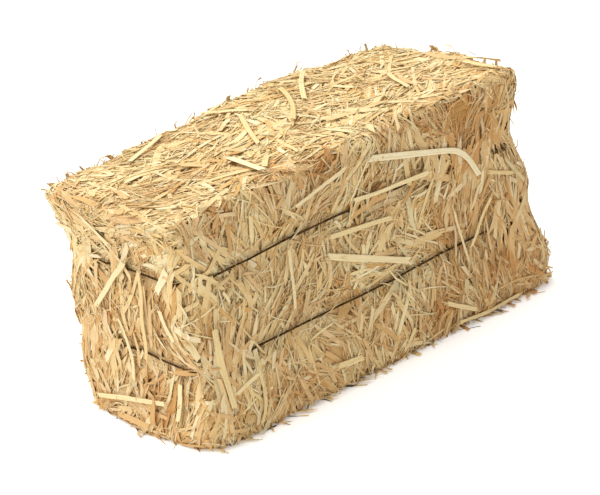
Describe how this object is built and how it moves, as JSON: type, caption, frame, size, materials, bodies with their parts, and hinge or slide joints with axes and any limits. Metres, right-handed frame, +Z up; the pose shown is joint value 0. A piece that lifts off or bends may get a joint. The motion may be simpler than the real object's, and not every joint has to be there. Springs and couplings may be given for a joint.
{
  "type": "square straw bale",
  "caption": "Small square bale of chopped, flattened straw, held by two dark twines that run round its four sides.",
  "frame": {"origin": "on the ground under the middle of the bale's bounding box", "axes": "+X along the length, +Y along the width, away from the long side that shows in the picture, +Z up"},
  "size_m": [0.5946, 0.285, 0.3054],
  "materials": {
    "straw": "dry chopped straw, matt, with dark gaps between the straws",
    "loose_straw": "dry flattened straw, faint waxy gloss",
    "pale_straw": "pale flattened straw blade, faint waxy gloss",
    "twine": "dark brown twisted twine, matt"
  },
  "bodies": {
    "root": {"blade_front_foot": "loose_straw", "blade_left_middle": "loose_straw", "blade_left_over_twine": "loose_straw", "blade_left_shoulder": "loose_straw", "blade_near_corner": "loose_straw", "blade_top_back": "loose_straw", "blade_top_far_edge": "loose_straw", "curved_strip_front_foot": "loose_straw", "loose_stalk_back_1": "loose_straw", "loose_stalk_back_2": "loose_straw", "loose_stalk_back_3": "loose_straw", "loose_stalk_back_4": "loose_straw", "loose_stalk_back_5": "loose_straw", "loose_stalk_back_6": "loose_straw", "loose_stalk_back_7": "loose_straw", "loose_stalk_back_8": "loose_straw", "loose_stalk_front_1": "loose_straw", "loose_stalk_front_2": "loose_straw", "loose_stalk_front_3": "loose_straw", "loose_stalk_left_1": "loose_straw", "loose_stalk_left_2": "loose_straw", "loose_stalk_right_1": "loose_straw", "loose_stalk_right_2": "loose_straw", "loose_stalk_right_3": "loose_straw", "loose_stalk_right_4": "loose_straw", "loose_stalk_top_1": "loose_straw", "loose_stalk_top_2": "loose_straw", "loose_stalk_top_3": "loose_straw", "loose_stalk_top_4": "loose_straw", "loose_stalk_top_5": "loose_straw", "packed_straw": "straw", "pale_blade_front_middle": "pale_straw", "pale_blade_front_top": "pale_straw", "pale_blade_left_corner": "pale_straw", "pale_blade_left_foot": "pale_straw", "pale_blade_top_front": "pale_straw", "stalk_front_far": "loose_straw", "stalk_front_over_twine": "loose_straw", "stalk_front_shoulder": "loose_straw", "stalk_front_under_twine": "loose_straw", "strip_left_foot": "loose_straw", "tan_stalk_front_foot": "loose_straw", "thin_stalk_front": "loose_straw", "twine_lower": "twine", "twine_upper": "twine"}
  },
  "joints": []
}
